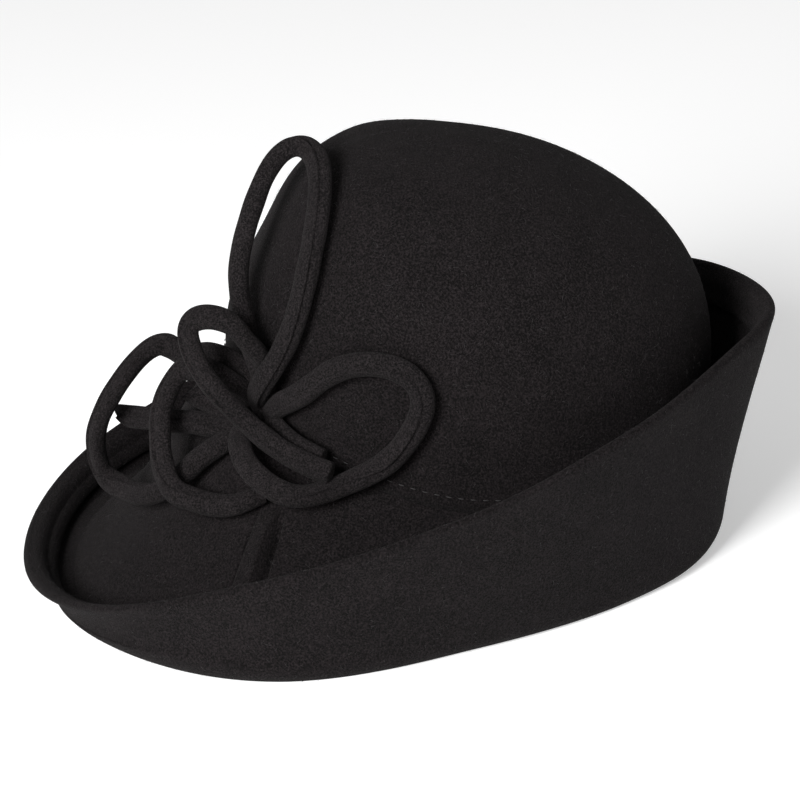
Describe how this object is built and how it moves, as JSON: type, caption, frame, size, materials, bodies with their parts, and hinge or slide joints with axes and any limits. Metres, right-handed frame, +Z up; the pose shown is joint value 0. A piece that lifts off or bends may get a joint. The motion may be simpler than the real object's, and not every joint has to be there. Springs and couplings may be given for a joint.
{
  "type": "cloche hat",
  "caption": "Wool felt cloche hat with a blocked crown, a wide turned-up brim and a trim of rolled felt loops on one side.",
  "frame": {"origin": "middle of the whole hat in plan, on the surface that it rests on", "axes": "+Z up out of the crown, -Y towards the low front of the brim, +X towards the trimmed side"},
  "size_m": [0.2908, 0.3204, 0.1898],
  "materials": {
    "hat_felt": "matte",
    "trim_felt": "matte"
  },
  "bodies": {
    "root": {"crown": "hat_felt", "brim": "hat_felt", "loop_tall": "trim_felt", "loop_upper": "trim_felt", "loop_left": "trim_felt", "loop_middle": "trim_felt", "loop_right": "trim_felt", "tail_left": "trim_felt", "tail_back": "trim_felt", "tail_right": "trim_felt", "trim_base": "trim_felt"}
  },
  "joints": []
}
